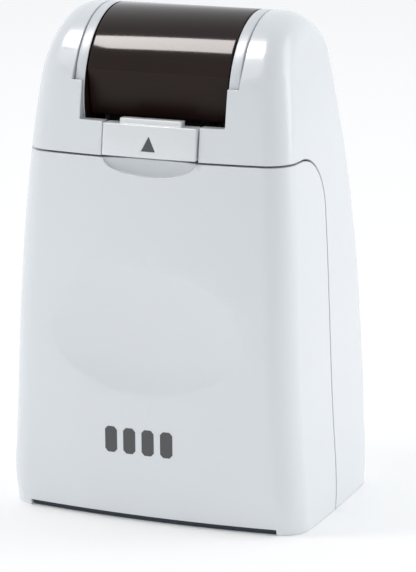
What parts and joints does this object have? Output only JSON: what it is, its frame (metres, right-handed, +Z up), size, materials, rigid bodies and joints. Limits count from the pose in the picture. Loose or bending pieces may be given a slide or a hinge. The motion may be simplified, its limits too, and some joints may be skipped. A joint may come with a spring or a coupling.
{
  "type": "identity protection roller stamp",
  "caption": "Pocket-size masking roller stamp with a rounded white case, a dark rotary head cover and a small lock tab.",
  "frame": {"origin": "bottom centre of the whole stamp, on the surface it stands on", "axes": "+Z up through the head, -Y out of the front face with the lock tab, +X along the width"},
  "size_m": [0.0468, 0.0379, 0.074],
  "materials": {
    "white_shell": "satin moulded ABS",
    "white_tab": "satin moulded ABS",
    "white_disc": "satin moulded ABS",
    "dark_base": "fine texture",
    "dark_gloss": "polished",
    "grey_frame": "moulded",
    "bush_plastic": "acetal",
    "grey_mark": "printed",
    "screw_steel": "zinc plated",
    "spring_steel": "rolled",
    "pin_steel": "ground",
    "washer": "nylon",
    "felt": "inked felt",
    "core_plastic": "moulded",
    "stamp_rubber": "inked rubber"
  },
  "bodies": {
    "case": {"front_cover": "white_shell", "rear_case": "white_shell", "base_plate": "dark_base", "base_screws": "screw_steel", "chassis": "grey_frame", "pivot_bush_left": "bush_plastic", "pivot_bush_right": "bush_plastic", "drag_springs": "spring_steel"},
    "lock": {"lock_slider": "white_tab", "arrow_inlay": "grey_mark", "lock_yoke": "grey_frame"},
    "head": {"head_disc_left": "white_disc", "head_disc_right": "white_disc", "pivot_pin_left": "pin_steel", "pivot_pin_right": "pin_steel", "tie_bars": "pin_steel", "head_cover": "dark_gloss"},
    "cartridge": {"cartridge_frame": "grey_frame", "ink_felt": "felt", "roller_axle": "pin_steel", "axle_washers": "washer"},
    "roller": {"roller_core": "core_plastic", "print_sleeve": "stamp_rubber"}
  },
  "joints": [
    {"name": "head_turn", "type": "hinge", "parent": "case", "child": "head", "pos_m": [0, -0.002, 0.0617], "axis": [-1, 0, 0], "range_deg": [0, 180]},
    {"name": "lock_slide", "type": "slide", "parent": "case", "child": "lock", "axis": [0, 0, 1], "range_m": [0, 0.002]},
    {"name": "cartridge_pull", "type": "slide", "parent": "head", "child": "cartridge", "axis": [0, 0, -1], "range_m": [0, 0.022]},
    {"name": "roller_spin", "type": "hinge", "parent": "cartridge", "child": "roller", "pos_m": [0, -0.002, 0.056], "axis": [1, 0, 0], "continuous": true}
  ]
}
